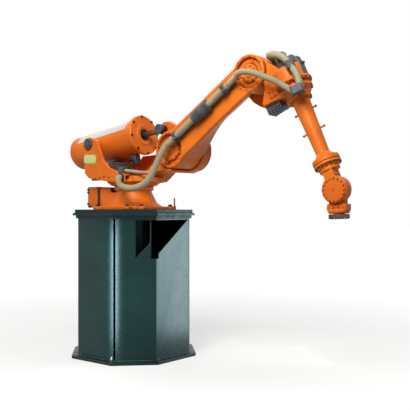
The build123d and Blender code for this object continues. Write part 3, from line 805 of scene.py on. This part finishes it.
seam = hoop([(0.1765, -0.006), (0.1785, -0.004), (0.1798, 0), (0.1785, 0.004), (0.1765, 0.006)], 96)
copies(seam, "balancer_weld_seams", "balancer", orange,
       [balancer @ move(x) @ along_x for x in (-0.395, 0.514)], smooth=60)


def curved_band(name, radius, start, end, low, high, material):
    """Thin strip on the balancer's barrel, between two angles, in degrees from its top to the near side."""
    bpy.ops.mesh.primitive_cylinder_add(vertices=180, radius=radius, depth=end - start,
                                        end_fill_type="NOTHING")
    obj = bpy.context.object
    only(obj)
    bpy.ops.object.mode_set(mode="EDIT")
    pick_faces(lambda middle, normal: not radians(low) < atan2(-middle.y, -middle.x) < radians(high))
    bpy.ops.mesh.delete(type="FACE")
    bpy.ops.mesh.select_all(action="SELECT")
    bpy.ops.mesh.subdivide(number_cuts=2)
    bpy.ops.object.mode_set(mode="OBJECT")
    wall = obj.modifiers.new("wall", "SOLIDIFY")
    wall.thickness = 0.0015
    wall.offset = 1
    bpy.ops.object.modifier_apply(modifier="wall")
    return finish(obj, name, "balancer", material, balancer @ move((start + end) / 2) @ along_x)


curved_band("balancer_bare_band", 0.1772, -0.30, 0.44, -6, 66, white_band)
cap = turned([(0.046, 0), (0.052, 0.006), (0.052, 0.036), (0.046, 0.042), (0.020, 0.042),
              (0.018, 0.038)], 48)
finish(cap, "rod_end_cap", "piston_rod", black_rubber, balancer @ move(rod_length, -0.0255) @ along_near)

# Lower arm
shoulder_floor = arm @ move(0, -0.082) @ along_near
elbow_floor = arm @ move(arm_length, -0.082) @ along_near
rib = rounded_block((0.048, 0.011, 0.024), 0.003, 2)
copies(rib, "shoulder_recess_ribs", "lower_arm", orange,
       [shoulder_floor @ p @ move(0.003) for p in ring_of(4, 0.128, 40)])
ledge = hoop([(0.088, 0), (0.136, 0), (0.136, 0.005), (0.126, 0.013), (0.100, 0.013), (0.088, 0.006)])
finish(ledge, "elbow_recess_ledge", "lower_arm", orange, elbow_floor @ move(0, 0, -0.0005))
copies(rib, "elbow_recess_ribs", "lower_arm", orange,
       [elbow_floor @ p @ move(0.002) for p in ring_of(3, 0.108, 40)])
cover_h, rim_h = 0.026, 0.040
for end, face, bolt_ring, hub_r, rim_ring in (
        ("shoulder", shoulder_floor, (10, 0.092), 0.050, (16, 0.166)),
        ("elbow", elbow_floor, (8, 0.068), 0.038, (14, 0.152))):
    bolts(small_hexagon, end + "_cover_bolts", "lower_arm", orange, face @ move(0, 0, cover_h),
          ring_of(*bolt_ring))
    hub = turned([(hub_r, 0), (hub_r, 0.006), (0.9 * hub_r, 0.010), (0.5 * hub_r, 0.010),
                  (0.45 * hub_r, 0.006)], 48)
    finish(hub, end + "_cover_hub", "lower_arm", orange, face @ move(0, 0, cover_h - 0.0005))
    bolts(small_screw, end + "_rim_screws", "lower_arm", orange, face @ move(0, 0, rim_h),
          ring_of(*rim_ring))
clamp_face = arm @ move(0, hose_y - 0.038, hose_z) @ along_near
bolts(small_screw, "hose_clamp_screws", "lower_arm", steel, clamp_face,
      [move(x, y) for x in (0.175, 0.882) for y in (-0.028, 0.028)])
bolts(small_hexagon, "clamp_rail_bolts", "lower_arm", bolt_black, arm @ move(0, -0.135, hose_z) @ along_near,
      [move(x) for x in (0.230, 0.300, 0.400, 0.720, 0.800, 0.950)])
sleeve_profile = [(0.034, -0.105), (0.053, -0.105), (0.058, -0.099), (0.058, -0.088), (0.055, -0.084),
                  (0.055, -0.020), (0.057, -0.016), (0.057, 0.016), (0.055, 0.020), (0.055, 0.084),
                  (0.058, 0.088), (0.058, 0.099), (0.053, 0.105), (0.034, 0.105)]
sleeve = hoop(sleeve_profile, 40)
finish(sleeve, "hose_sleeve_wrap", "lower_arm", black_rubber, arm @ move(0.558, hose_y, hose_z) @ along_x)
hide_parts("hose_sleeve")
lug_pin = turned([(0.034, 0), (0.034, 0.008), (0.024, 0.012), (0.024, 0.020), (0.020, 0.023)], 32)
finish(lug_pin, "lug_pin_head", "lower_arm", steel, balancer @ move(rod_length, 0.0855) @ along_far)

# Upper arm
wrist_servos = ((0.085, 0, 0.105, -90), (0.005, -0.075, 0.028, 180), (0.005, 0.075, 0.028, 0))
for k, (x, y, z, side_turn) in enumerate(wrist_servos):
    motor = servo(0.090, 0.227 - x, 0.052)
    place = roll @ move(0.283, y, z) @ along_back @ turn(side_turn)
    finish(motor, f"wrist_servo_{k + 1}", "upper_arm", black_metal, place)
    if k == 0:
        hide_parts("wrist_motors")
root_faces = ((0.305, 0.154, 20), (0.370, 0.138, 16))
for k, (x, radius, count) in enumerate(root_faces):
    bolts(small_hexagon, f"root_ring_bolts_{k + 1}", "upper_arm", orange, roll @ move(x) @ along_x,
          ring_of(count, radius, 6))
pivot_face = at_side(elbow, 0.272)
bolts(cap_screw, "elbow_pivot_screws", "upper_arm", bolt_black, pivot_face, ring_of(12, 0.140))
hub = turned([(0.100, 0), (0.100, 0.010), (0.092, 0.016), (0.040, 0.016), (0.036, 0.010)], 64)
finish(hub, "elbow_pivot_hub", "upper_arm", orange, pivot_face @ move(0, 0, -0.0005))
housing_face = forearm @ move(0.300, -0.1045, 0.160) @ along_near
panel = rounded_block((0.070, 0.110, 0.008), 0.003)
finish(panel, "housing_panel", "upper_arm", orange, housing_face)
bolts(small_screw, "housing_panel_screws", "upper_arm", orange, housing_face @ move(0, 0, 0.0075),
      [move(x, y) for x in (-0.026, 0.026) for y in (-0.045, 0, 0.045)])
boss_tips = [roll @ Matrix.Rotation(radians(round_tube), 4, "X") @ move(x, 0, 0.0995)
             for x in (0.560, 0.755) for round_tube in (180, -18)]
copies(small_hexagon, "boss_screws", "upper_arm", bolt_black, boss_tips)
ring = hoop([(0.076, 0), (0.106, 0), (0.108, 0.002), (0.108, 0.016), (0.105, 0.019), (0.090, 0.019),
             (0.084, 0.030), (0.076, 0.030)])
finish(ring, "tube_root_ring", "upper_arm", orange, roll @ move(0.434) @ along_x)
bolts(small_hexagon, "tube_root_bolts", "upper_arm", orange, roll @ move(0.4525) @ along_x,
      ring_of(14, 0.098, 8))
bolts(small_hexagon, "tube_flange_bolts", "upper_arm", orange, roll @ move(1.030) @ along_back,
      ring_of(18, 0.108))

# Wrist
fork_x = 1.067
bolts(small_hexagon, "fork_ring_bolts", "wrist_roll", bolt_black, roll @ move(fork_x + 0.024) @ along_x,
      ring_of(18, 0.110, 10))
near_cover, far_cover = at_side(wrist, -0.086), at_side(wrist, 0.070)
bolts(small_hexagon, "fork_cover_bolts_near", "wrist_roll", orange, near_cover, ring_of(16, 0.096))
bolts(small_hexagon, "fork_cover_bolts_far", "wrist_roll", orange, far_cover, ring_of(8, 0.050))
mark = turned([(0.012, 0), (0.012, 0.003), (0.007, 0.004), (0.006, 0.001)], 24)
copies(mark, "fork_cover_marks", "wrist_roll", orange, [near_cover @ move(0, 0, -0.0005)])
snout_face = tool @ move(0.150, -0.052) @ along_near
bolts(small_screw, "wrist_body_screws", "wrist_bend", orange, snout_face,
      [move(0, y) for y in (-0.070, -0.025, 0.025, 0.070)])
collar = hoop([(0.080, 0), (0.0925, 0), (0.0925, 0.012), (0.088, 0.016), (0.080, 0.016)])
finish(collar, "wrist_collar", "wrist_bend", orange, tool @ move(0.176) @ along_x)
bolts(small_screw, "tool_flange_screws", "tool", steel, tool @ move(0.235) @ along_x, ring_of(6, 0.0835, 30))

for model in (port, big_hexagon, small_hexagon, cap_screw, small_screw, stud, socket, rib, seam, mark):
    bpy.data.objects.remove(model)

# Floor, backdrop and light
bpy.ops.mesh.primitive_circle_add(vertices=96, radius=60, fill_type="NGON", location=(0, 0, -0.001))
floor = bpy.context.object
floor.name = "studio_floor"
pale = Finish("pale_floor", 0.9)
pale.shader.inputs["Base Color"].default_value = linear(168, 168, 166)
pale.bump(pale.noise(30.0), 0.0005, 0.2)
# The floor glows where the camera or a reflection sees it, and more the farther out
rays = pale.add("ShaderNodeLightPath")
glow = pale.add("ShaderNodeEmission", Color=(1, 1, 1, 1))
lift = pale.add("ShaderNodeAddShader")
reach = pale.add("ShaderNodeVectorMath", Vector=pale.place)
reach.operation = "LENGTH"
fade = pale.ramp(reach.outputs["Value"], 1.5, 8.0, 0.50, 0.96)
seen_rays = pale.math("MAXIMUM", rays.outputs["Is Camera Ray"], rays.outputs["Is Glossy Ray"])
dim_glow = pale.math("MULTIPLY", seen_rays, fade)
pale.feed(glow.inputs["Strength"], dim_glow)
pale.tree.links.new(pale.shader.outputs["BSDF"], lift.inputs[0])
pale.tree.links.new(glow.outputs["Emission"], lift.inputs[1])
pale.tree.links.new(lift.outputs["Shader"], pale.tree.nodes["Material Output"].inputs["Surface"])
floor.data.materials.append(pale.material)

# The surroundings are white to the camera and in reflections, and otherwise a dim light
world_light = bpy.data.worlds.new("studio_light")
world_light.use_nodes = True
bpy.context.scene.world = world_light
sky = world_light.node_tree
background = sky.nodes["Background"]
background.inputs["Color"].default_value = (1, 1, 1, 1)
sky_rays = sky.nodes.new("ShaderNodeLightPath")
seen = sky.nodes.new("ShaderNodeMath")
seen.operation = "MAXIMUM"
sky.links.new(sky_rays.outputs["Is Camera Ray"], seen.inputs[0])
sky.links.new(sky_rays.outputs["Is Transmission Ray"], seen.inputs[1])
mirrored = sky.nodes.new("ShaderNodeMath")
mirrored.operation = "MAXIMUM"
sky.links.new(seen.outputs["Value"], mirrored.inputs[0])
sky.links.new(sky_rays.outputs["Is Glossy Ray"], mirrored.inputs[1])
level = sky.nodes.new("ShaderNodeMapRange")
level.inputs["To Min"].default_value = 0.11
level.inputs["To Max"].default_value = 1.0
sky.links.new(mirrored.outputs["Value"], level.inputs["Value"])
sky.links.new(level.outputs["Result"], background.inputs["Strength"])


def softbox(name, place, target, size, watts, spread=180):
    """Rectangular lamp aimed at a point, that the camera doesn't see."""
    lamp = bpy.data.lights.new(name, "AREA")
    lamp.shape = "RECTANGLE"
    lamp.size, lamp.size_y = size
    lamp.energy = watts
    lamp.spread = radians(spread)
    obj = bpy.data.objects.new(name, lamp)
    bpy.context.scene.collection.objects.link(obj)
    obj.location = place
    obj.rotation_euler = (Vector(target) - Vector(place)).to_track_quat("-Z", "Y").to_euler()
    obj.visible_camera = False


softbox("key_light", (2.6, -4.2, 5.6), (0.8, 0, 1.9), (3.0, 3.0), 490)
softbox("seam_strip", (0.22, -1.95, 0.66), (0.26, 0, 0.66), (0.62, 1.3), 5.6, 46)
softbox("far_panel", (1.55, 1.13, 0.75), (0.545, 0, 0.72), (1.0, 1.5), 5.0, 60)
softbox("top_light", (-0.8, 0.6, 6.5), (0.6, 0, 2.0), (3.0, 3.0), 150)

# Camera at the photograph's place and angle
camera = bpy.data.cameras.new("camera")
camera.lens, camera.sensor_width = 61.46, 36
camera.shift_x, camera.shift_y = 0.8 / 410, 6 / 410
camera_object = bpy.data.objects.new("camera", camera)
bpy.context.scene.collection.objects.link(camera_object)
camera_object.location = (5.197, -5.249, 1.485)
camera_object.rotation_euler = (radians(90), 0, radians(39))
bpy.context.scene.camera = camera_object
bpy.context.scene.view_settings.view_transform = "Standard"
